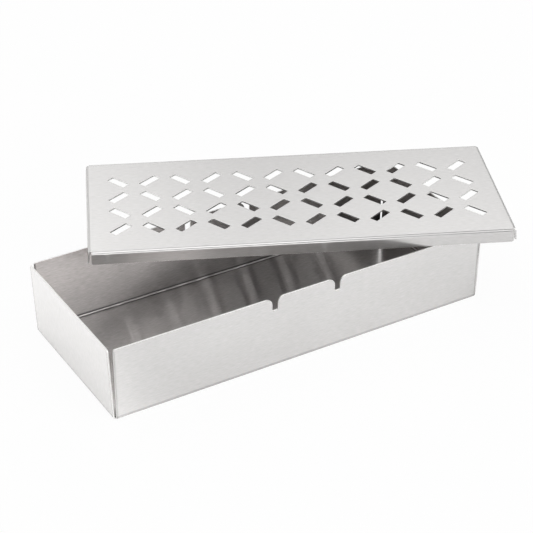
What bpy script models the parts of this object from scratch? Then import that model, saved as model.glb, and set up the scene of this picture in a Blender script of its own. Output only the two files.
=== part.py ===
"""Grill smoker box: a tray folded from one sheet, and a loose slotted lid that lies askew on its rim.

Units are metres. +X runs along the tray, the front is at -Y, and the tray's underside is at Z = 0.
"""
import math

import bmesh
import bpy
from mathutils import Matrix, Vector

# Sheet that both pieces are folded from
SHEET_THICKNESS = 0.0008
BEND_INNER_RADIUS = 0.001
BEND_STEPS = 8
ARC_STEPS = 5

# Tray, measured over its outer faces; its end walls lean out a little
TRAY_LENGTH = 0.230
TRAY_WIDTH = 0.0968
TRAY_HEIGHT = 0.0434
TRAY_SEAM_CLEARANCE = 0.0003
TRAY_CORNER_RADIUS = 0.0014
END_WALL_LEAN = math.radians(1.7)

# Notches in the rims of the tray's long walls
NOTCH_FROM_CENTRE = 0.0194
NOTCH_WIDTH = 0.0034
NOTCH_DEPTH = 0.0077
NOTCH_SHOULDER_RADIUS = 0.004
NOTCH_BOTTOM_RADIUS = 0.001

# Lid: how loosely it fits over the tray, how far its flanges reach down, and how its end flanges lean out
LID_CLEARANCE_ALONG = 0.0003
LID_CLEARANCE_ACROSS = 0.00135
LID_DEPTH = 0.0076
LID_SEAM_CLEARANCE = 0.0008
LID_CORNER_RADIUS = 0.0012
END_FLANGE_LEAN = math.radians(5)

# Smoke slots, turned one way and the other in turn
SLOT_LENGTH = 0.0127
SLOT_WIDTH = 0.0048
SLOT_PITCH_ALONG = 0.018
SLOT_PITCH_ACROSS = 0.0179
SLOT_TURN = math.radians(45)
SLOT_BORDER = 0.010
CUT_OVERRUN = 0.002

# Where the loose lid lies on the tray
LID_SHIFT_ALONG = 0.0385
LID_SHIFT_ACROSS = 0.027
LID_TURN = math.radians(-24.7)
SEAT_GAP = 0.0003

# Sizes that follow from the ones above
BEND_RADIUS = BEND_INNER_RADIUS + SHEET_THICKNESS
TRAY_SEAM = SHEET_THICKNESS + TRAY_SEAM_CLEARANCE
LID_SEAM = SHEET_THICKNESS + LID_SEAM_CLEARANCE
RIM_LENGTH = TRAY_LENGTH + 2 * (TRAY_HEIGHT - BEND_RADIUS) * math.tan(END_WALL_LEAN)
LID_LENGTH = RIM_LENGTH + 2 * (LID_CLEARANCE_ALONG + SHEET_THICKNESS)
LID_WIDTH = TRAY_WIDTH + 2 * (LID_CLEARANCE_ACROSS + SHEET_THICKNESS)
SLOT_REACH = SLOT_LENGTH * math.cos(SLOT_TURN) + SLOT_WIDTH * math.sin(SLOT_TURN)

# Finish
STEEL_COLOUR = (0.66, 0.65, 0.63, 1.0)
STEEL_ROUGHNESS = 0.32
SHARP_ANGLE = math.radians(30)
QUARTER_TURN = math.pi / 2


def clear_scene():
    """Remove every object that the file starts with."""
    for old in list(bpy.data.objects):
        bpy.data.objects.remove(old, do_unlink=True)


def brushed_steel(name):
    """Brushed stainless finish."""
    material = bpy.data.materials.new(name)
    material.use_nodes = True
    shader = material.node_tree.nodes["Principled BSDF"]
    shader.inputs["Base Color"].default_value = STEEL_COLOUR
    shader.inputs["Metallic"].default_value = 1.0
    shader.inputs["Roughness"].default_value = STEEL_ROUGHNESS
    material.diffuse_color = STEEL_COLOUR
    return material


def arc(centre_s, centre_h, radius, start, stop, steps=ARC_STEPS):
    """Points on an arc, both ends included."""
    points = []
    for step in range(steps + 1):
        angle = start + (stop - start) * step / steps
        points.append((centre_s + radius * math.cos(angle), centre_h + radius * math.sin(angle)))
    return points


def notch_outline(centre, rim):
    """One rim notch from its right shoulder to its left one: a narrow slit that opens in rounded shoulders."""
    half = NOTCH_WIDTH / 2
    shoulder = NOTCH_SHOULDER_RADIUS
    shoulder_level = rim - shoulder
    bottom_level = rim - NOTCH_DEPTH + NOTCH_BOTTOM_RADIUS
    bottom_half = half - NOTCH_BOTTOM_RADIUS
    points = arc(centre + half + shoulder, shoulder_level, shoulder, QUARTER_TURN, 2 * QUARTER_TURN)
    points += arc(centre + bottom_half, bottom_level, NOTCH_BOTTOM_RADIUS, 0, -QUARTER_TURN)
    points += arc(centre - bottom_half, bottom_level, NOTCH_BOTTOM_RADIUS, -QUARTER_TURN, -2 * QUARTER_TURN)
    points += arc(centre - half - shoulder, shoulder_level, shoulder, 0, QUARTER_TURN)
    return points


def wall_outline(reach, height, seam, corner_radius, notch_centres):
    """A wall above its bend, seen from outside: up its right end, along the rim, and down its left end."""
    right_end = arc(reach - seam - corner_radius, height - corner_radius, corner_radius, 0, QUARTER_TURN)
    left_end = [(-along, level) for along, level in reversed(right_end)]
    rim = []
    for centre in sorted(notch_centres, reverse=True):
        rim += notch_outline(centre, height)
    return right_end + rim + left_end


def add_wall(bm, left_corner, right_corner, quarter_turns, reach, offset, seam, lean, outline):
    """Fold one wall up from the panel's edge between two corners, short of upright by its lean.

    The bend starts as long as the panel and ends as long as the wall, which stops short of its corners by the seam.
    The wall is laid out as the front one and then turned about Z by quarter turns.
    """
    turn = Matrix.Rotation(quarter_turns * QUARTER_TURN, 3, "Z")
    row = (left_corner, right_corner)
    for step in range(1, BEND_STEPS + 1):
        bent_share = step / BEND_STEPS
        angle = (QUARTER_TURN - lean) * bent_share
        half = reach - BEND_RADIUS + (BEND_RADIUS - seam) * bent_share
        out = offset - BEND_RADIUS + BEND_RADIUS * math.sin(angle)
        bend_top = BEND_RADIUS - BEND_RADIUS * math.cos(angle)
        next_row = tuple(bm.verts.new(turn @ Vector((side * half, -out, bend_top))) for side in (-1, 1))
        bm.faces.new((row[0], row[1], next_row[1], next_row[0]))
        row = next_row
    upper = []
    for along, level in outline:
        leaning_out = out + (level - bend_top) * math.tan(lean)
        upper.append(bm.verts.new(turn @ Vector((along, -leaning_out, level))))
    bm.faces.new([row[0], row[1]] + upper)


def folded_pan(name, length, width, height, seam, corner_radius, end_lean, notch_centres=()):
    """A sheet folded into a pan: a flat panel at Z = 0 with four walls folded up, open at the corners.

    The long walls stand upright and carry the notches, and the end walls lean outwards.
    """
    bm = bmesh.new()
    panel_x = length / 2 - BEND_RADIUS
    panel_y = width / 2 - BEND_RADIUS
    places = ((-panel_x, -panel_y), (panel_x, -panel_y), (panel_x, panel_y), (-panel_x, panel_y))
    corners = [bm.verts.new((x, y, 0)) for x, y in places]
    bm.faces.new(list(reversed(corners)))
    for wall in range(4):
        long_wall = wall % 2 == 0
        reach = (length if long_wall else width) / 2
        offset = (width if long_wall else length) / 2
        lean = 0 if long_wall else end_lean
        outline = wall_outline(reach, height, seam, corner_radius, notch_centres if long_wall else ())
        add_wall(bm, corners[wall], corners[(wall + 1) % 4], wall, reach, offset, seam, lean, outline)
    mesh = bpy.data.meshes.new(name)
    bm.to_mesh(mesh)
    bm.free()
    pan = bpy.data.objects.new(name, mesh)
    bpy.context.collection.objects.link(pan)
    give_thickness(pan)
    return pan


def give_thickness(pan):
    """Thicken the outer skin inwards, and shade the bends smooth."""
    solidify = pan.modifiers.new("sheet", "SOLIDIFY")
    solidify.thickness = SHEET_THICKNESS
    solidify.offset = -1
    solidify.use_even_offset = True
    bpy.context.view_layer.objects.active = pan
    bpy.ops.object.modifier_apply(modifier=solidify.name)
    pan.data.shade_smooth()
    pan.data.set_sharp_from_angle(angle=SHARP_ANGLE)


def copies_that_fit(room, pitch):
    """How many slots stand in a row of the given room at a pitch."""
    return int((room - 2 * SLOT_BORDER - SLOT_REACH) / pitch) + 1


def slot_cutter(name):
    """Upright bars, one through each slot, in a herringbone over the lid's panel."""
    columns = copies_that_fit(LID_LENGTH, SLOT_PITCH_ALONG)
    rows = copies_that_fit(LID_WIDTH, SLOT_PITCH_ACROSS)
    bar_height = SHEET_THICKNESS + 2 * CUT_OVERRUN
    bar_size = Matrix.Diagonal((SLOT_LENGTH, SLOT_WIDTH, bar_height, 1))
    bm = bmesh.new()
    for row in range(rows):
        for column in range(columns):
            turn = SLOT_TURN if (row + column) % 2 else -SLOT_TURN
            along = (column - (columns - 1) / 2) * SLOT_PITCH_ALONG
            across = ((rows - 1) / 2 - row) * SLOT_PITCH_ACROSS
            place = Matrix.Translation((along, across, -SHEET_THICKNESS / 2))
            bmesh.ops.create_cube(bm, size=1, matrix=place @ Matrix.Rotation(turn, 4, "Z") @ bar_size)
    mesh = bpy.data.meshes.new(name)
    bm.to_mesh(mesh)
    bm.free()
    cutter = bpy.data.objects.new(name, mesh)
    bpy.context.collection.objects.link(cutter)
    cutter.hide_render = True
    cutter.display_type = "WIRE"
    return cutter


def make_tray():
    """The chip tray, with two notches in each long wall's rim."""
    notch_centres = (-NOTCH_FROM_CENTRE, NOTCH_FROM_CENTRE)
    tray = folded_pan("tray", TRAY_LENGTH, TRAY_WIDTH, TRAY_HEIGHT, TRAY_SEAM, TRAY_CORNER_RADIUS,
                      END_WALL_LEAN, notch_centres)
    tray.data.materials.append(brushed_steel("tray_steel"))
    return tray


def make_lid():
    """The slotted lid, with its origin in the middle of its top face, lying on the tray's rim."""
    lid = folded_pan("lid", LID_LENGTH, LID_WIDTH, LID_DEPTH, LID_SEAM, LID_CORNER_RADIUS, END_FLANGE_LEAN)
    lid.data.transform(Matrix.Rotation(2 * QUARTER_TURN, 4, "X"))
    lid.data.materials.append(brushed_steel("lid_steel"))
    lid.location = (LID_SHIFT_ALONG, LID_SHIFT_ACROSS, TRAY_HEIGHT + SEAT_GAP + LID_DEPTH)
    lid.rotation_euler = (0, 0, LID_TURN)
    cutter = slot_cutter("slot_cutter")
    cutter.parent = lid
    slots = lid.modifiers.new("slots", "BOOLEAN")
    slots.operation = "DIFFERENCE"
    slots.solver = "EXACT"
    slots.object = cutter
    return lid


clear_scene()
make_tray()
make_lid()
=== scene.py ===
"""Grill smoker box: the looks of its folded tray of brushed stainless steel and of its loose slotted lid.

Units are metres. +X runs along the tray, the front is at -Y, and the tray's underside is at Z = 0.
"""
import math
from dataclasses import dataclass

import bmesh
import bpy
from bpy.props import FloatProperty, FloatVectorProperty, IntProperty, PointerProperty
from mathutils import Matrix, Vector


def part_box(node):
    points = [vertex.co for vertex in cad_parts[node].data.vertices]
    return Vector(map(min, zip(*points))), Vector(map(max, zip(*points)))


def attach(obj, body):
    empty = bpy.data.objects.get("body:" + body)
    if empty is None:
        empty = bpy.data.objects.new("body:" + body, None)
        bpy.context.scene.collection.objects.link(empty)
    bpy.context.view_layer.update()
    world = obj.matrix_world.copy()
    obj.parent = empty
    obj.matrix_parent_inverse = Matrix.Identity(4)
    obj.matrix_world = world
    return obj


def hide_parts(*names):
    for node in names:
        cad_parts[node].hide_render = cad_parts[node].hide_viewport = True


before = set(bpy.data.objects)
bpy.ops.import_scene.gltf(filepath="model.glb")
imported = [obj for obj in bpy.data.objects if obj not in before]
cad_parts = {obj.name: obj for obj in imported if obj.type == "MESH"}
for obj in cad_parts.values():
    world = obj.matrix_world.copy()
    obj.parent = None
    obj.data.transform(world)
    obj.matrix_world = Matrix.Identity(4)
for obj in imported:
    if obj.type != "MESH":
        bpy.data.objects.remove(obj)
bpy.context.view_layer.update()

bl_info = {
    "name": "Grill smoker box",
    "version": (1, 0, 0),
    "blender": (4, 5, 0),
    "location": "3D View > Sidebar > Smoker Box",
    "description": "Folds a smoker box's tray and slotted lid from brushed steel sheet, and lights them",
    "category": "Add Mesh",
}

tray_low, tray_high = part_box("tray")
lid_low, lid_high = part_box("lid")

QUARTER_TURN = math.pi / 2
UPWARDS = Vector((0, 0, 1))

# Lengths below NEAR count as none, and a piece may miss its node's box by BOX_TOLERANCE
NEAR = 0.000001
BOX_TOLERANCE = 0.00005
# Sizes that are worked out from the frame are rounded to tenths of a millimetre
TENTH_MM_DIGITS = 4

SHEET_THICKNESS = 0.0008
LID_END_LEAN = math.radians(5)
# The end flanges are cut square, so their inner edges dip below the lid's depth where they lean out
FLANGE_DIP = SHEET_THICKNESS * math.sin(LID_END_LEAN)

# Rounding of the sheared edges, and shading that keeps the large faces flat
SHARP_EDGE_ANGLE = math.radians(50)
EDGE_STEPS = 2
FACE_SHADING_WEIGHT = 100

# The punch for the slots: faces round each corner, and its height in sheets
PUNCH_CORNER_STEPS = 4
PUNCH_SHEETS_HIGH = 4

# The UV map of the flat blank, with U along the grain, and the quarter turn that leads across it
BLANK_MAP = "blank"
ACROSS_THE_GRAIN = 0.25

# Noise for the grain, which lies round its middle value, and for the bloom that handling leaves
NOISE_MIDDLE = 0.5
NOISE_ROUGHNESS = 0.55
HAIRLINE_DETAIL = 2.0
BLOOM_SCALE = 28.0
BLOOM_DETAIL = 3.0
# Scratches and long strokes: length, width and detail
SCRATCHES = (0.004, 0.0004, 1.0)
STROKES = (0.035, 0.0009, 3.0)

# How much each of these takes part in the steel's colour, its roughness and its relief
HAIRLINE_TONE = 0.3
SCRATCH_TONE = 0.8
STROKE_TONE = 0.25
BLOOM_TONE = 0.15
STROKE_UNEVENNESS = 0.05
BLOOM_UNEVENNESS = 0.05
HAIRLINE_RELIEF = 0.6
SCRATCH_RELIEF = 0.5
STROKE_RELIEF = 0.4

# Painted shade on the tray, darkening its colour: how far it reaches from a fold line and from a bottom
# corner, and how dark it is
FOLD_LINE_REACH = 0.001
CORNER_REACH = 0.014
PAINTED_SHADE_FACTOR = 0.1

# Fine grooves that the shears leave on an edge
GROOVE_SCALE = 2600.0
GROOVE_DETAIL = 2.0
GROOVE_DEPTH = 0.00002
GROOVE_STRENGTH = 0.4
GROOVE_UNEVENNESS = 0.15
GROOVE_DARKEST = 0.9
GROOVE_LIGHTEST = 1.08

WHITE = (1, 1, 1, 1)
SENSOR_WIDTH = 36

# The floor lies just under the tray, and this share of what the camera sees of it is pure white
FLOOR_LEVEL = -0.0001
FLOOR_WHITENESS = 0.95
# Reflections show the floor growing whiter to the left, from the first of these places to the second
GLOW_START_X = -0.07
GLOW_FULL_X = -0.13

# Soft panels of light: azimuth and elevation of the middle, spread out to the edge (degrees), and strength
SOFT_PANELS = (
    (330, 0, 26, 2.0),
    (15, 0, 26, 2.5),
    (30, 0, 26, 2.8),
    (35, 4, 12, 2.5),
    (15, 55, 22, 1.2),
    (45, 55, 22, 1.4),
    (300, 75, 26, 1.4),
    (330, 56, 14, 1.1),
    (210, 60, 22, 1.2),
    (200, 32, 20, 1.0),
    (150, 45, 24, 1.1),
    (120, 20, 30, 0.4),
    (180, 20, 30, 0.6),
)


class SmokerSheet(bpy.types.PropertyGroup):
    """The steel sheet that both pieces are folded from."""

    thickness: FloatProperty(
        name="Thickness", description="How thick the sheet is",
        default=SHEET_THICKNESS, min=0.0003, unit="LENGTH", precision=5)
    bend_radius: FloatProperty(
        name="Bend radius", description="Radius on the inner side of every bend",
        default=0.001, min=0.0002, unit="LENGTH", precision=5)
    bend_steps: IntProperty(
        name="Bend steps", description="Faces round each bend",
        default=16, min=4)
    corner_steps: IntProperty(
        name="Corner steps", description="Faces round each rounded corner of the blank",
        default=12, min=3)
    edge_radius: FloatProperty(
        name="Edge radius", description="Rounding of the sheared edges",
        default=0.00009, min=0, unit="LENGTH", precision=5)


class SmokerTray(bpy.types.PropertyGroup):
    """The chip tray, measured over its outer faces."""

    height: FloatProperty(
        name="Height", description="Height of the walls above what the tray stands on",
        default=round(tray_high.z, TENTH_MM_DIGITS), min=0.01, unit="LENGTH", precision=5)
    width: FloatProperty(
        name="Width", description="Width over the long walls",
        default=tray_high.y - tray_low.y, min=0.02, unit="LENGTH", precision=5)
    rim_length: FloatProperty(
        name="Rim length", description="Length over the end walls' rims",
        default=tray_high.x - tray_low.x, min=0.05, unit="LENGTH", precision=5)
    end_lean: FloatProperty(
        name="End lean", description="How far the end walls lean outwards",
        default=math.radians(1.7), subtype="ANGLE")
    seam_clearance: FloatProperty(
        name="Seam clearance", description="Gap between two walls at a corner",
        default=0.0005, min=0, unit="LENGTH", precision=5)
    corner_radius: FloatProperty(
        name="Corner radius", description="Rounding of the walls' upper corners",
        default=0.0014, min=0.0001, unit="LENGTH", precision=5)
    notch_from_centre: FloatProperty(
        name="Notch place", description="Distance of each rim notch from the middle of its wall",
        default=0.0194, unit="LENGTH", precision=5)
    notch_width: FloatProperty(
        name="Notch width", description="Width of a rim notch below its shoulders",
        default=0.0034, min=0.0001, unit="LENGTH", precision=5)
    notch_depth: FloatProperty(
        name="Notch depth", description="Depth of a rim notch below the rim",
        default=0.0077, min=0.0001, unit="LENGTH", precision=5)
    shoulder_radius: FloatProperty(
        name="Shoulder radius", description="Rounding where a notch opens in the rim",
        default=0.004, min=0.0001, unit="LENGTH", precision=5)
    notch_bottom_radius: FloatProperty(
        name="Notch bottom radius", description="Rounding of the corners at a notch's bottom",
        default=0.001, min=0.0001, unit="LENGTH", precision=5)


class SmokerLid(bpy.types.PropertyGroup):
    """The slotted lid and the way it lies on the tray."""

    depth: FloatProperty(
        name="Depth", description="How far the flanges reach down from the top face",
        default=round(lid_high.z - lid_low.z - FLANGE_DIP, TENTH_MM_DIGITS),
        min=0.002, unit="LENGTH", precision=5)
    clearance_along: FloatProperty(
        name="Clearance along", description="Gap between the end flanges and the tray's rim",
        default=0.0003, min=0, unit="LENGTH", precision=5)
    clearance_across: FloatProperty(
        name="Clearance across", description="Gap between the long flanges and the tray's rim",
        default=0.00135, min=0, unit="LENGTH", precision=5)
    end_lean: FloatProperty(
        name="End lean", description="How far the end flanges lean outwards",
        default=LID_END_LEAN, subtype="ANGLE")
    seam_clearance: FloatProperty(
        name="Seam clearance", description="Gap between two flanges at a corner",
        default=0.0008, min=0, unit="LENGTH", precision=5)
    corner_radius: FloatProperty(
        name="Corner radius", description="Rounding of the flanges' lower corners",
        default=0.0012, min=0.0001, unit="LENGTH", precision=5)
    turn: FloatProperty(
        name="Turn", description="How the lid is turned on the tray, seen from above",
        default=math.radians(-24.7), subtype="ANGLE")
    slot_length: FloatProperty(
        name="Slot length", description="Length of a smoke slot",
        default=0.0127, min=0.001, unit="LENGTH", precision=5)
    slot_width: FloatProperty(
        name="Slot width", description="Width of a smoke slot",
        default=0.0048, min=0.0005, unit="LENGTH", precision=5)
    slot_corner_radius: FloatProperty(
        name="Slot corner radius", description="Rounding of a slot's corners, as the punch leaves it",
        default=0.00025, min=0.00005, unit="LENGTH", precision=5)
    pitch_along: FloatProperty(
        name="Pitch along", description="Distance from slot to slot along the lid",
        default=0.018, min=0.001, unit="LENGTH", precision=5)
    pitch_across: FloatProperty(
        name="Pitch across", description="Distance from slot to slot across the lid",
        default=0.0179, min=0.001, unit="LENGTH", precision=5)
    columns: IntProperty(name="Columns", description="Slots along the lid", default=12, min=1)
    rows: IntProperty(name="Rows", description="Slots across the lid", default=4, min=1)
    slot_turn: FloatProperty(
        name="Slot turn", description="Slope of the slots, one way and the other in turn",
        default=math.radians(45), subtype="ANGLE")


class SmokerFinish(bpy.types.PropertyGroup):
    """The brushed finish of the steel, and the shade painted into the tray's folds and corners."""

    colour: FloatVectorProperty(
        name="Steel", description="Colour of the brushed faces",
        subtype="COLOR", size=3, min=0, max=1, default=(0.676, 0.667, 0.659))
    edge_colour: FloatVectorProperty(
        name="Cut edge", description="Colour of the sheared edges",
        subtype="COLOR", size=3, min=0, max=1, default=(0.78, 0.775, 0.765))
    inside_colour: FloatVectorProperty(
        name="Tray inside", description="Colour of the brushed faces inside the tray",
        subtype="COLOR", size=3, min=0, max=1, default=(0.69, 0.669, 0.661))
    # Painted shade: how much the fold lines and the tray's bottom corners are darkened in the steel's colour
    painted_fold_shade: FloatProperty(
        name="Painted shade in folds", description="How dark the lines are where the folds begin and end inside",
        subtype="FACTOR", min=0, max=1, default=0.75)
    outer_painted_fold_shade: FloatProperty(
        name="Painted shade on folds outside", description="How dark the same lines are on the outside",
        subtype="FACTOR", min=0, max=1, default=0.3)
    painted_corner_shade: FloatProperty(
        name="Painted shade in corners", description="How dark the bottom corners inside the tray are",
        subtype="FACTOR", min=0, max=1, default=0.85)
    contrast: FloatProperty(
        name="Contrast", description="How far the brushed faces' lines stand out in colour",
        subtype="FACTOR", min=0, max=1, default=0.15)
    inside_contrast: FloatProperty(
        name="Contrast inside", description="How far the lines inside the tray stand out in colour",
        subtype="FACTOR", min=0, max=1, default=0.3)
    roughness: FloatProperty(
        name="Roughness", description="Roughness of the brushed faces' smooth ground",
        subtype="FACTOR", min=0, max=1, default=0.11)
    scratch_roughness: FloatProperty(
        name="Scratch roughness", description="Roughness of the brushed faces' scratches",
        subtype="FACTOR", min=0, max=1, default=0.3)
    scratch_share: FloatProperty(
        name="Scratch share", description="Share of the brushed faces that the scratches take",
        subtype="FACTOR", min=0, max=1, default=0.35)
    edge_roughness: FloatProperty(
        name="Edge roughness", description="Roughness of the sheared edges",
        subtype="FACTOR", min=0, max=1, default=0.38)
    brushing: FloatProperty(
        name="Brushing", description="How far the brushing draws reflections out across its grain",
        subtype="FACTOR", min=0, max=1, default=1)
    hairline_width: FloatProperty(
        name="Hairline width", description="Width of the finest brushed lines",
        default=0.00022, min=0.00001, unit="LENGTH", precision=5)
    hairline_length: FloatProperty(
        name="Hairline length", description="Length of the finest brushed lines",
        default=0.012, min=0.0001, unit="LENGTH", precision=5)
    hairline_depth: FloatProperty(
        name="Hairline depth", description="Depth of the brushed lines",
        default=0.000002, min=0, unit="LENGTH", precision=6)


class SmokerStage(bpy.types.PropertyGroup):
    """The floor, the light and the camera."""

    azimuth: FloatProperty(
        name="Azimuth", description="Where the camera stands round the box; 0 looks along +Y",
        default=math.radians(-30.825), subtype="ANGLE")
    elevation: FloatProperty(
        name="Elevation", description="How far the camera looks down",
        default=math.radians(31.724), subtype="ANGLE")
    distance: FloatProperty(
        name="Distance", description="Distance from the camera to the middle of the tray's underside",
        default=0.91367, unit="LENGTH", precision=5)
    slide_right: FloatProperty(
        name="Slide right", description="How far the camera stands right of the line to the tray",
        default=0.003521, unit="LENGTH", precision=5)
    slide_up: FloatProperty(
        name="Slide up", description="How far the camera stands above the line to the tray",
        default=0.026114, unit="LENGTH", precision=5)
    lens: FloatProperty(
        name="Lens", description="Focal length on a sensor 36 mm wide",
        default=109.74, unit="CAMERA")
    floor_size: FloatProperty(
        name="Floor size", description="Side of the floor",
        default=6, unit="LENGTH")
    floor_shade: FloatProperty(
        name="Floor shade", description="How white the floor is",
        subtype="FACTOR", min=0, max=1, default=0.9)
    floor_glow: FloatProperty(
        name="Floor glow", description="How much whiter the floor is in reflections than its light makes it",
        subtype="FACTOR", min=0, max=1, default=0.1)
    floor_glow_left: FloatProperty(
        name="Floor glow on the left", description="How much more of that there is to the left",
        subtype="FACTOR", min=0, max=1, default=0.42)
    sky_strength: FloatProperty(
        name="Sky strength", description="Strength of the light from all round",
        default=0.2, min=0)


def pick(kind, test):
    """Select only the vertices, edges or faces that pass a test. The mesh is in edit mode."""
    bpy.ops.mesh.select_mode(type=kind)
    bpy.ops.mesh.select_all(action="DESELECT")
    mesh = bpy.context.edit_object.data
    cage = bmesh.from_edit_mesh(mesh)
    items = {"VERT": cage.verts, "EDGE": cage.edges, "FACE": cage.faces}[kind]
    chosen = [item for item in items if test(item)]
    if not chosen:
        raise RuntimeError(f"{mesh.name} has nothing to shape there")
    for item in chosen:
        item.select_set(True)
    cage.select_flush_mode()
    bmesh.update_edit_mesh(mesh, loop_triangles=False)


def draw_out(move):
    """Extrude the selected edges."""
    bpy.ops.mesh.extrude_edges_move(TRANSFORM_OT_translate={"value": move})


def cut_selected(place, normal):
    """Cut the selected faces along a plane."""
    bpy.ops.mesh.bisect(plane_co=place, plane_no=normal)


def round_corners(test, radius, steps):
    """Round the corners of a flat face."""
    pick("VERT", test)
    bpy.ops.mesh.bevel(offset=radius, offset_type="OFFSET", segments=steps, profile=0.5, affect="VERTICES")


def with_modifier(piece, kind, **settings):
    """Add a modifier to a piece and apply it."""
    modifier = piece.modifiers.new(kind.lower(), kind)
    for name, value in settings.items():
        setattr(modifier, name, value)
    bpy.context.view_layer.objects.active = piece
    bpy.ops.object.modifier_apply(modifier=modifier.name)


@dataclass
class Pan:
    """A sheet folded into a pan, measured over its outer skin. Its walls go down where up is -1."""

    length: float
    width: float
    height: float
    seam: float
    corner_radius: float
    end_lean: float
    bend_radius: float
    bend_steps: int
    corner_steps: int
    up: int

    @property
    def half_panel(self):
        """Half the length and half the width of the flat panel between its bends."""
        return self.length / 2 - self.bend_radius, self.width / 2 - self.bend_radius

    def bend_angle(self, is_end):
        """How far an end wall or a long wall is folded."""
        return QUARTER_TURN - (self.end_lean if is_end else 0)


def lay_panel(name, pan):
    """Add the flat panel of a pan, and leave it in edit mode."""
    bpy.ops.object.select_all(action="DESELECT")
    bpy.ops.mesh.primitive_plane_add(size=2, calc_uvs=False, location=(0, 0, 0))
    piece = bpy.context.object
    piece.name = name
    piece.data.name = name
    bpy.ops.object.mode_set(mode="EDIT")
    half_length, half_width = pan.half_panel
    bpy.ops.transform.resize(value=(half_length, half_width, 1), center_override=(0, 0, 0))
    return piece


def fold_wall(pan, quarter_turns):
    """Fold one wall off the panel: the front one, turned about Z by quarter turns.

    The bend starts as long as the panel and ends as long as the wall, which stops short of its corners.
    Returns the wall's directions along and outwards, and how far its rim lies from the middle of the panel.
    """
    is_end = quarter_turns % 2 == 1
    turn = Matrix.Rotation(quarter_turns * QUARTER_TURN, 3, "Z")
    along = turn @ Vector((1, 0, 0))
    outwards = turn @ Vector((0, -1, 0))
    reach = (pan.width if is_end else pan.length) / 2
    distance = pan.half_panel[0 if is_end else 1]
    bend = pan.bend_angle(is_end)
    pick("EDGE", lambda edge: all(abs(vert.co.dot(outwards) - distance) < NEAR for vert in edge.verts))
    half = reach - pan.bend_radius
    level = 0
    start = distance
    for step in range(1, pan.bend_steps + 1):
        share = step / pan.bend_steps
        next_distance = start + pan.bend_radius * math.sin(bend * share)
        next_level = pan.bend_radius * (1 - math.cos(bend * share))
        next_half = reach - pan.bend_radius + (pan.bend_radius - pan.seam) * share
        draw_out(outwards * (next_distance - distance) + UPWARDS * pan.up * (next_level - level))
        widening = [1 + abs(part) * (next_half / half - 1) for part in along]
        bpy.ops.transform.resize(value=widening, center_override=(0, 0, 0))
        distance, level, half = next_distance, next_level, next_half
    rise = pan.height - level
    lean_out = rise / math.tan(bend)
    draw_out(outwards * lean_out + UPWARDS * pan.up * rise)
    distance += lean_out

    def is_free_corner(vert):
        return (abs(vert.co.z - pan.up * pan.height) < NEAR and abs(vert.co.dot(outwards) - distance) < NEAR
                and abs(abs(vert.co.dot(along)) - half) < NEAR)

    round_corners(is_free_corner, pan.corner_radius, pan.corner_steps)
    return along, outwards, distance


def notch_rim(pan, tray, along, outwards, distance):
    """Cut the two notches into a long wall's rim."""
    half = tray.notch_width / 2
    bottom = pan.height - tray.notch_depth
    middles = (-tray.notch_from_centre, tray.notch_from_centre)

    def on_wall(place):
        return abs(place.dot(outwards) - distance) < NEAR and place.z > pan.bend_radius

    def wall_face(face):
        return on_wall(face.calc_center_median())

    def in_notch(centre):
        return any(abs(centre.dot(along) - middle) < half for middle in middles)

    for middle in middles:
        for side in (-half, half):
            pick("FACE", wall_face)
            cut_selected(along * (middle + side), along)
    pick("FACE", lambda face: wall_face(face) and in_notch(face.calc_center_median()))
    cut_selected(UPWARDS * bottom, UPWARDS)
    pick("FACE", lambda face: wall_face(face) and in_notch(face.calc_center_median())
         and face.calc_center_median().z > bottom)
    bpy.ops.mesh.delete(type="FACE")
    pick("EDGE", lambda edge: len(edge.link_faces) == 2 and all(wall_face(face) for face in edge.link_faces))
    bpy.ops.mesh.dissolve_edges(use_verts=False)
    pick("VERT", lambda vert: len(vert.link_edges) == 2 and vert.co.z < bottom and vert.co.dot(outwards) > 0
         and any(abs(vert.co.dot(along) - middle) < half + NEAR for middle in middles))
    bpy.ops.mesh.dissolve_verts()

    def at_notch_side(vert):
        return on_wall(vert.co) and any(
            abs(abs(vert.co.dot(along) - middle) - half) < NEAR for middle in middles)

    round_corners(lambda vert: at_notch_side(vert) and abs(vert.co.z - pan.height) < NEAR,
                  tray.shoulder_radius, pan.corner_steps)
    round_corners(lambda vert: at_notch_side(vert) and abs(vert.co.z - bottom) < NEAR,
                  tray.notch_bottom_radius, pan.corner_steps)


def map_blank(piece, pan):
    """Give the skin the UV map of its flat blank, in metres, with U along the brushing."""
    half_length, half_width = pan.half_panel
    layer = piece.data.uv_layers.new(name=BLANK_MAP)
    for loop in piece.data.loops:
        place = piece.data.vertices[loop.vertex_index].co
        past_x = abs(place.x) - half_length
        past_y = abs(place.y) - half_width
        is_end = past_x > past_y
        past = max(past_x, past_y)
        if past <= 0:
            layer.data[loop.index].uv = place.xy
            continue
        level = abs(place.z)
        bend = pan.bend_angle(is_end)
        bend_end = Vector((math.sin(bend), 1 - math.cos(bend))) * pan.bend_radius
        if level < bend_end.y:
            run = pan.bend_radius * math.atan2(past, pan.bend_radius - level)
        else:
            run = pan.bend_radius * bend + (Vector((past, level)) - bend_end).length
        if is_end:
            layer.data[loop.index].uv = (math.copysign(half_length + run, place.x), place.y)
        else:
            layer.data[loop.index].uv = (place.x, math.copysign(half_width + run, place.y))


def thicken(piece, sheet, face_steel, edge_steel, inside_steel):
    """Give the skin its thickness inwards, and a steel each to its faces, sheared edges and inside."""
    steels = [face_steel, edge_steel]
    if inside_steel not in steels:
        steels.append(inside_steel)
    for steel in steels:
        piece.data.materials.append(steel)
    with_modifier(piece, "SOLIDIFY", thickness=sheet.thickness, offset=-1, use_even_offset=True,
                  material_offset_rim=steels.index(edge_steel), material_offset=steels.index(inside_steel))


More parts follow.
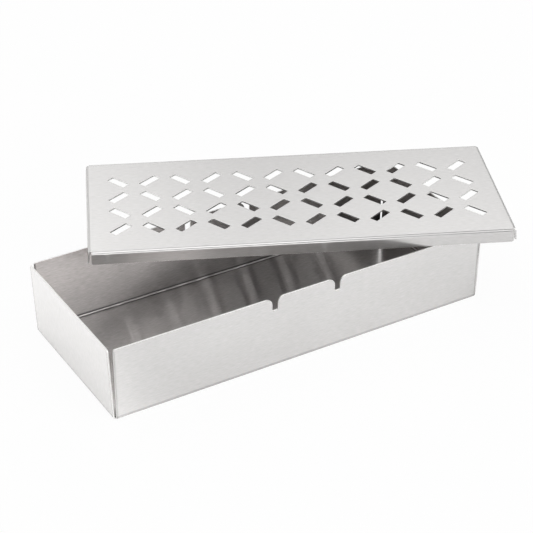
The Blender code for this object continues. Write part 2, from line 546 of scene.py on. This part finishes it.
def finish_edges(piece, sheet):
    """Round the sheared edges, and shade bends smooth and faces flat."""
    with_modifier(piece, "BEVEL", width=sheet.edge_radius, segments=EDGE_STEPS, limit_method="ANGLE",
                  angle_limit=SHARP_EDGE_ANGLE, material=1, use_clamp_overlap=True)
    piece.data.shade_smooth()
    with_modifier(piece, "WEIGHTED_NORMAL", mode="FACE_AREA", weight=FACE_SHADING_WEIGHT, keep_sharp=False)


def face_outwards(piece, pan):
    """Turn every face outwards: the panel faces away from the walls."""
    bpy.ops.mesh.select_all(action="SELECT")
    bpy.ops.mesh.normals_make_consistent(inside=False)
    cage = bmesh.from_edit_mesh(piece.data)
    panel = next(face for face in cage.faces if all(abs(vert.co.z) < NEAR for vert in face.verts))
    if panel.normal.z * pan.up > 0:
        bpy.ops.mesh.flip_normals()


def stand_for(piece, node):
    """The piece rides with the node's body and is shown in its place, which has to be the same."""
    low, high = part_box(node)
    places = [vert.co for vert in piece.data.vertices]
    for axis in range(3):
        ends = min(place[axis] for place in places), max(place[axis] for place in places)
        if abs(ends[0] - low[axis]) > BOX_TOLERANCE or abs(ends[1] - high[axis]) > BOX_TOLERANCE:
            raise RuntimeError(f"{piece.name} doesn't fill {node} along axis {axis}: {ends}")
    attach(piece, node)
    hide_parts(node)


class Signal:
    """A node socket, on which Python's operators add Math nodes."""

    def __init__(self, tree, socket=None):
        self.tree = tree
        self.socket = socket

    def node(self, kind, settings=None, values=None, output=0):
        """Add any node: first its settings, then the values or links of its sockets."""
        made = self.tree.nodes.new(kind)
        for name, value in (settings or {}).items():
            setattr(made, name, value)
        for name, value in (values or {}).items():
            if isinstance(value, Signal):
                self.tree.links.new(value.socket, made.inputs[name])
            else:
                made.inputs[name].default_value = value
        return Signal(self.tree, made.outputs[output] if made.outputs else None)

    def maths(self, operation, *values):
        """Add a Math node."""
        return self.node("ShaderNodeMath", {"operation": operation}, dict(enumerate(values)))

    def __add__(self, other):
        return self.maths("ADD", self, other)

    def __sub__(self, other):
        return self.maths("SUBTRACT", self, other)

    def __mul__(self, other):
        return self.maths("MULTIPLY", self, other)

    def ramp(self, value, start, stop, height):
        """Rises smoothly from 0 to a height while a value goes from start to stop."""
        return self.node("ShaderNodeMapRange", {"interpolation_type": "SMOOTHSTEP"},
                         {"Value": value, "From Min": start, "From Max": stop, "To Max": height})

    def mixed(self, first, second):
        """A colour between two, with this signal as the factor.

        The node's sockets for colours share their names with others, so they are given by their place.
        """
        return self.node("ShaderNodeMix", {"data_type": "RGBA"}, {0: self, 6: first, 7: second}, 2)


def empty_material(name):
    """A material with nothing in it but its output, and a signal to start its nodes from."""
    material = bpy.data.materials.new(name)
    material.use_nodes = True
    material.node_tree.nodes.clear()
    return material, Signal(material.node_tree)


def shaded(colour, factor):
    """A colour made lighter or darker, with full alpha."""
    return (*(min(1, part * factor) for part in colour), 1)


def streaks(start, place, length, width, detail):
    """Noise drawn out along U, from 0 to 1 around a half."""
    drawn = start.node("ShaderNodeMapping", None, {"Vector": place, "Scale": (1 / length, 1 / width, 1)})
    return start.node("ShaderNodeTexNoise", {"noise_dimensions": "2D"},
                      {"Vector": drawn, "Scale": 1.0, "Detail": detail, "Roughness": NOISE_ROUGHNESS})


def painted_shade_in_folds(start, place, pan, painted_fold_shade, painted_corner_shade):
    """Painted shade: dark lines where each fold begins and ends, and dark bottom corners, from 0 for none to
    1.
    """
    lines = 0
    corner = painted_corner_shade
    for axis, half, is_end in (("X", pan.half_panel[0], True), ("Y", pan.half_panel[1], False)):
        part = start.node("ShaderNodeSeparateXYZ", None, {0: place}, axis)
        past = start.maths("ABSOLUTE", part) - half
        for line in (0, pan.bend_radius * pan.bend_angle(is_end)):
            away = start.maths("ABSOLUTE", past - line)
            lines = start.ramp(away, FOLD_LINE_REACH, 0, painted_fold_shade) + lines
        corner = start.ramp(start.maths("ABSOLUTE", past), CORNER_REACH, 0, 1) * corner
    return start.maths("MAXIMUM", lines, corner)


def brushed_steel(name, finish, base, contrast, folds=None):
    """Stainless sheet, brushed along its blank: fine lines, scratches, long strokes and a faint bloom.

    The folds hold the pan, and how dark the shade painted on its fold lines and in its bottom corners is.
    The steel is mixed from a smooth ground and rougher scratches, and both draw reflections out across the
    grain.
    """
    material, start = empty_material(name)
    place = start.node("ShaderNodeUVMap", {"uv_map": BLANK_MAP})
    hairlines = streaks(start, place, finish.hairline_length, finish.hairline_width, HAIRLINE_DETAIL)
    scratches = streaks(start, place, *SCRATCHES)
    strokes = streaks(start, place, *STROKES)
    in_space = start.node("ShaderNodeTexCoord", output="Object")
    bloom = start.node("ShaderNodeTexNoise", {"noise_dimensions": "3D"},
                       {"Vector": in_space, "Scale": BLOOM_SCALE, "Detail": BLOOM_DETAIL})
    tone = ((hairlines - NOISE_MIDDLE) * HAIRLINE_TONE + (scratches - NOISE_MIDDLE) * SCRATCH_TONE
            + (strokes - NOISE_MIDDLE) * STROKE_TONE + (bloom - NOISE_MIDDLE) * BLOOM_TONE + NOISE_MIDDLE)
    colour = tone.mixed(shaded(base, 1 - contrast), shaded(base, 1 + contrast))
    # Painted shade: the fold lines and the bottom corners are darkened in the colour
    if folds:
        colour = painted_shade_in_folds(start, place, *folds).mixed(colour, shaded(base, PAINTED_SHADE_FACTOR))
    unevenness = (strokes - NOISE_MIDDLE) * STROKE_UNEVENNESS + (bloom - NOISE_MIDDLE) * BLOOM_UNEVENNESS
    height = hairlines * HAIRLINE_RELIEF + scratches * SCRATCH_RELIEF + strokes * STROKE_RELIEF
    bump = start.node("ShaderNodeBump", None,
                      {"Strength": 1.0, "Distance": finish.hairline_depth, "Height": height})
    tangent = start.node("ShaderNodeTangent", {"direction_type": "UV_MAP", "uv_map": BLANK_MAP})
    ground, scratched = [start.node("ShaderNodeBsdfPrincipled", None, {
        "Base Color": colour, "Metallic": 1.0, "Roughness": unevenness + roughness, "Normal": bump,
        "Anisotropic": finish.brushing, "Anisotropic Rotation": ACROSS_THE_GRAIN, "Tangent": tangent})
        for roughness in (finish.roughness, finish.scratch_roughness)]
    steel = start.node("ShaderNodeMixShader", None, {0: finish.scratch_share, 1: ground, 2: scratched})
    start.node("ShaderNodeOutputMaterial", None, {"Surface": steel})
    material.diffuse_color = shaded(base, 1)
    return material


def sheared_steel(name, finish):
    """The cut edge of the sheet, with the fine grooves of the shears and the punch."""
    material, start = empty_material(name)
    place = start.node("ShaderNodeTexCoord", output="Object")
    grooves = start.node("ShaderNodeTexNoise", {"noise_dimensions": "3D"},
                         {"Vector": place, "Scale": GROOVE_SCALE, "Detail": GROOVE_DETAIL})
    colour = grooves.mixed(shaded(finish.edge_colour, GROOVE_DARKEST),
                           shaded(finish.edge_colour, GROOVE_LIGHTEST))
    bump = start.node("ShaderNodeBump", None,
                      {"Strength": GROOVE_STRENGTH, "Distance": GROOVE_DEPTH, "Height": grooves})
    shader = start.node("ShaderNodeBsdfPrincipled", None, {
        "Base Color": colour, "Metallic": 1.0, "Normal": bump,
        "Roughness": (grooves - NOISE_MIDDLE) * GROOVE_UNEVENNESS + finish.edge_roughness})
    start.node("ShaderNodeOutputMaterial", None, {"Surface": shader})
    material.diffuse_color = shaded(finish.edge_colour, 1)
    return material


def tray_pan(sheet, tray):
    """The tray's pan. Its floor is shorter than its rim by the lean of the end walls."""
    radius = sheet.bend_radius + sheet.thickness
    spread = 2 * (tray.height - radius) * math.tan(tray.end_lean)
    return Pan(
        length=round(tray.rim_length - spread, TENTH_MM_DIGITS), width=tray.width, height=tray.height,
        seam=sheet.thickness + tray.seam_clearance, corner_radius=tray.corner_radius, end_lean=tray.end_lean,
        bend_radius=radius, bend_steps=sheet.bend_steps, corner_steps=sheet.corner_steps, up=1)


def lid_pan(sheet, tray, lid):
    """The lid's pan, which fits over the tray's rim with its flanges down."""
    around = sheet.thickness + lid.clearance_along
    across = sheet.thickness + lid.clearance_across
    return Pan(
        length=tray.rim_length + 2 * around, width=tray.width + 2 * across, height=lid.depth,
        seam=sheet.thickness + lid.seam_clearance, corner_radius=lid.corner_radius, end_lean=lid.end_lean,
        bend_radius=sheet.bend_radius + sheet.thickness, bend_steps=sheet.bend_steps,
        corner_steps=sheet.corner_steps, up=-1)


def slot_places(lid):
    """The middle and the turn of every slot, from the back left corner on."""
    for row in range(lid.rows):
        for column in range(lid.columns):
            middle = Vector(((column - (lid.columns - 1) / 2) * lid.pitch_along,
                             ((lid.rows - 1) / 2 - row) * lid.pitch_across, 0))
            yield middle, lid.slot_turn if (row + column) % 2 else -lid.slot_turn


def divide_panel(pan, lid):
    """Divide the lid's panel into one cell for each slot, so that each is cut from a face of its own."""
    half_block = Vector((lid.columns * lid.pitch_along / 2, lid.rows * lid.pitch_across / 2))
    half_length, half_width = pan.half_panel
    border = half_length - half_block.x
    bpy.ops.mesh.inset(thickness=border)
    inner_half_width = half_width - border
    bpy.ops.transform.resize(value=(1, half_block.y / inner_half_width, 1), center_override=(0, 0, 0))

    def in_block(face):
        return all(abs(vert.co.x) < half_block.x + NEAR and abs(vert.co.y) < half_block.y + NEAR
                   for vert in face.verts)

    for line in range(1, lid.columns):
        pick("FACE", in_block)
        cut_selected((line * lid.pitch_along - half_block.x, 0, 0), (1, 0, 0))
    for line in range(1, lid.rows):
        pick("FACE", in_block)
        cut_selected((0, line * lid.pitch_across - half_block.y, 0), (0, 1, 0))


def punch_slots(piece, sheet, lid, edge_steel):
    """Punch the slots through the lid with one rounded bar for each."""
    bpy.ops.object.select_all(action="DESELECT")
    bpy.ops.mesh.primitive_cube_add(size=1, calc_uvs=False, location=(0, 0, -sheet.thickness / 2))
    punch = bpy.context.object
    punch.name = "punch"
    bpy.ops.object.mode_set(mode="EDIT")
    bpy.ops.transform.resize(value=(lid.slot_length, lid.slot_width, PUNCH_SHEETS_HIGH * sheet.thickness),
                             center_override=(0, 0, -sheet.thickness / 2))
    pick("EDGE", lambda edge: abs(edge.verts[0].co.z - edge.verts[1].co.z) > sheet.thickness)
    bpy.ops.mesh.bevel(offset=lid.slot_corner_radius, offset_type="OFFSET", segments=PUNCH_CORNER_STEPS,
                       affect="EDGES")
    bpy.ops.object.mode_set(mode="OBJECT")
    punch.data.materials.append(edge_steel)
    bars = []
    for middle, turn in slot_places(lid):
        bar = punch.copy()
        bar.data = punch.data.copy()
        bpy.context.collection.objects.link(bar)
        bar.location = punch.location + middle
        bar.rotation_euler.z = turn
        bars.append(bar)
    bpy.data.objects.remove(punch)
    bpy.context.view_layer.update()
    for bar in bars:
        bar.select_set(True)
    bpy.context.view_layer.objects.active = bars[0]
    bpy.ops.object.join()
    with_modifier(piece, "BOOLEAN", operation="DIFFERENCE", solver="EXACT", object=bars[0],
                  material_mode="TRANSFER")
    bpy.data.objects.remove(bars[0])


class SMOKER_OT_add_tray(bpy.types.Operator):
    """Fold the chip tray, with two notches in each long rim"""

    bl_idname = "smoker.add_tray"
    bl_label = "Chip tray"

    def execute(self, context):
        scene = context.scene
        finish = scene.smoker_finish
        pan = tray_pan(scene.smoker_sheet, scene.smoker_tray)
        piece = lay_panel("chip_tray", pan)
        for quarter_turns in range(4):
            wall = fold_wall(pan, quarter_turns)
            if quarter_turns % 2 == 0:
                notch_rim(pan, scene.smoker_tray, *wall)
        face_outwards(piece, pan)
        bpy.ops.object.mode_set(mode="OBJECT")
        map_blank(piece, pan)
        # The outside has painted shade on its fold lines, the inside on its fold lines and in its bottom
        # corners
        outside = brushed_steel("tray_brushed", finish, finish.colour, finish.contrast,
                                (pan, finish.outer_painted_fold_shade, 0))
        edge = sheared_steel("tray_edge", finish)
        inside = brushed_steel("tray_inside", finish, finish.inside_colour, finish.inside_contrast,
                               (pan, finish.painted_fold_shade, finish.painted_corner_shade))
        thicken(piece, scene.smoker_sheet, outside, edge, inside)
        finish_edges(piece, scene.smoker_sheet)
        stand_for(piece, "tray")
        return {"FINISHED"}


class SMOKER_OT_add_lid(bpy.types.Operator):
    """Fold the slotted lid and lay it askew on the tray's rim"""

    bl_idname = "smoker.add_lid"
    bl_label = "Slotted lid"

    def execute(self, context):
        scene = context.scene
        finish = scene.smoker_finish
        lid = scene.smoker_lid
        pan = lid_pan(scene.smoker_sheet, scene.smoker_tray, lid)
        piece = lay_panel("slotted_lid", pan)
        divide_panel(pan, lid)
        for quarter_turns in range(4):
            fold_wall(pan, quarter_turns)
        face_outwards(piece, pan)
        bpy.ops.object.mode_set(mode="OBJECT")
        map_blank(piece, pan)
        edge = sheared_steel("lid_edge", finish)
        brushed = brushed_steel("lid_brushed", finish, finish.colour, finish.contrast)
        # The underside shares the finish of the sheared edges
        thicken(piece, scene.smoker_sheet, brushed, edge, edge)
        punch_slots(piece, scene.smoker_sheet, lid, edge)
        middle = (lid_low + lid_high) / 2
        piece.location = (middle.x, middle.y, lid_high.z)
        piece.rotation_euler.z = lid.turn
        bpy.ops.object.select_all(action="DESELECT")
        piece.select_set(True)
        bpy.ops.object.transform_apply(location=True, rotation=True, scale=True)
        finish_edges(piece, scene.smoker_sheet)
        stand_for(piece, "lid")
        return {"FINISHED"}


class SMOKER_OT_add_stage(bpy.types.Operator):
    """Add the floor, the light and the camera"""

    bl_idname = "smoker.add_stage"
    bl_label = "Floor, light and camera"

    def execute(self, context):
        scene = context.scene
        stage = scene.smoker_stage
        add_floor(stage)
        add_sky(scene, stage)
        add_camera(scene, stage)
        scene.view_settings.view_transform = "Standard"
        return {"FINISHED"}


def add_floor(stage):
    """A white floor. The camera sees it nearly pure white, and reflections see it whiter to the left."""
    bpy.ops.mesh.primitive_plane_add(size=stage.floor_size, location=(0, 0, FLOOR_LEVEL))
    floor = bpy.context.object
    floor.name = "floor"
    material, start = empty_material("floor_white")
    plain = start.node("ShaderNodeBsdfDiffuse", None, {"Color": shaded(WHITE[:3], stage.floor_shade)})
    seen = start.node("ShaderNodeLightPath", output="Is Camera Ray")
    reflected = (start.node("ShaderNodeLightPath", output="Is Glossy Ray")
                 + start.node("ShaderNodeLightPath", output="Is Transmission Ray"))
    place = start.node("ShaderNodeTexCoord", output="Object")
    along = start.node("ShaderNodeSeparateXYZ", None, {0: place}, "X")
    on_left = start.ramp(along, GLOW_START_X, GLOW_FULL_X, 1)
    glow = start.node("ShaderNodeEmission", None, {
        "Color": WHITE, "Strength": reflected * (on_left * stage.floor_glow_left + stage.floor_glow)})
    lit = start.node("ShaderNodeAddShader", None, {0: plain, 1: glow})
    white = start.node("ShaderNodeEmission", None, {"Color": WHITE, "Strength": 1.0})
    look = start.node("ShaderNodeMixShader", None, {0: seen * FLOOR_WHITENESS, 1: lit, 2: white})
    start.node("ShaderNodeOutputMaterial", None, {"Surface": look})
    floor.data.materials.append(material)


def direction(azimuth, elevation):
    """The direction to a place in the studio, as seen from the box."""
    return Vector((math.sin(azimuth) * math.cos(elevation), -math.cos(azimuth) * math.cos(elevation),
                   math.sin(elevation)))


def add_sky(scene, stage):
    """Soft panels of light round the box, and a little light from everywhere else."""
    world = bpy.data.worlds.new("studio")
    world.use_nodes = True
    world.node_tree.nodes.clear()
    start = Signal(world.node_tree)
    towards = start.node("ShaderNodeTexCoord", output="Generated")
    light = stage.sky_strength
    for azimuth, elevation, spread, strength in SOFT_PANELS:
        middle = direction(math.radians(azimuth), math.radians(elevation))
        nearness = start.node("ShaderNodeVectorMath", {"operation": "DOT_PRODUCT"},
                              {0: towards, 1: middle}, "Value")
        # A panel fades from half its spread out to its edge
        edge = math.cos(math.radians(spread))
        full = math.cos(math.radians(spread / 2))
        light = start.ramp(nearness, edge, full, strength) + light
    background = start.node("ShaderNodeBackground", None, {"Color": WHITE, "Strength": light})
    start.node("ShaderNodeOutputWorld", None, {"Surface": background})
    scene.world = world


def add_camera(scene, stage):
    """The camera, aimed past the middle of the tray's underside by its two slides."""
    back = direction(stage.azimuth, stage.elevation)
    right = Vector((math.cos(stage.azimuth), math.sin(stage.azimuth), 0))
    up = back.cross(right)
    bpy.ops.object.camera_add()
    camera = bpy.context.object
    camera.name = "camera"
    camera.data.sensor_width = SENSOR_WIDTH
    camera.data.lens = stage.lens
    camera.matrix_world = Matrix.Translation(
        back * stage.distance + right * stage.slide_right + up * stage.slide_up
    ) @ Matrix((right, up, back)).transposed().to_4x4()
    scene.camera = camera


class SMOKER_PT_panel(bpy.types.Panel):
    """Lists the pieces and their sizes"""

    bl_idname = "SMOKER_PT_panel"
    bl_label = "Smoker box"
    bl_space_type = "VIEW_3D"
    bl_region_type = "UI"
    bl_category = "Smoker Box"

    def draw(self, context):
        """Draw the buttons, and under them the sizes of each group."""
        for operator in OPERATORS:
            self.layout.operator(operator.bl_idname)
        for name in GROUPS:
            settings = getattr(context.scene, name)
            box = self.layout.box()
            for key in settings.__annotations__:
                box.prop(settings, key)


OPERATORS = (SMOKER_OT_add_tray, SMOKER_OT_add_lid, SMOKER_OT_add_stage)
GROUPS = {
    "smoker_sheet": SmokerSheet,
    "smoker_tray": SmokerTray,
    "smoker_lid": SmokerLid,
    "smoker_finish": SmokerFinish,
    "smoker_stage": SmokerStage,
}
CLASSES = (*GROUPS.values(), *OPERATORS, SMOKER_PT_panel)


def register():
    """Make the sizes, the buttons and the panel known to the program."""
    for kind in CLASSES:
        bpy.utils.register_class(kind)
    for name, group in GROUPS.items():
        setattr(bpy.types.Scene, name, PointerProperty(type=group))


def unregister():
    """Take the sizes, the buttons and the panel away again."""
    for name in GROUPS:
        delattr(bpy.types.Scene, name)
    for kind in reversed(CLASSES):
        bpy.utils.unregister_class(kind)


def main():
    """Build the box and its stage."""
    register()
    bpy.ops.smoker.add_tray()
    bpy.ops.smoker.add_lid()
    bpy.ops.smoker.add_stage()


if __name__ == "__main__":
    main()
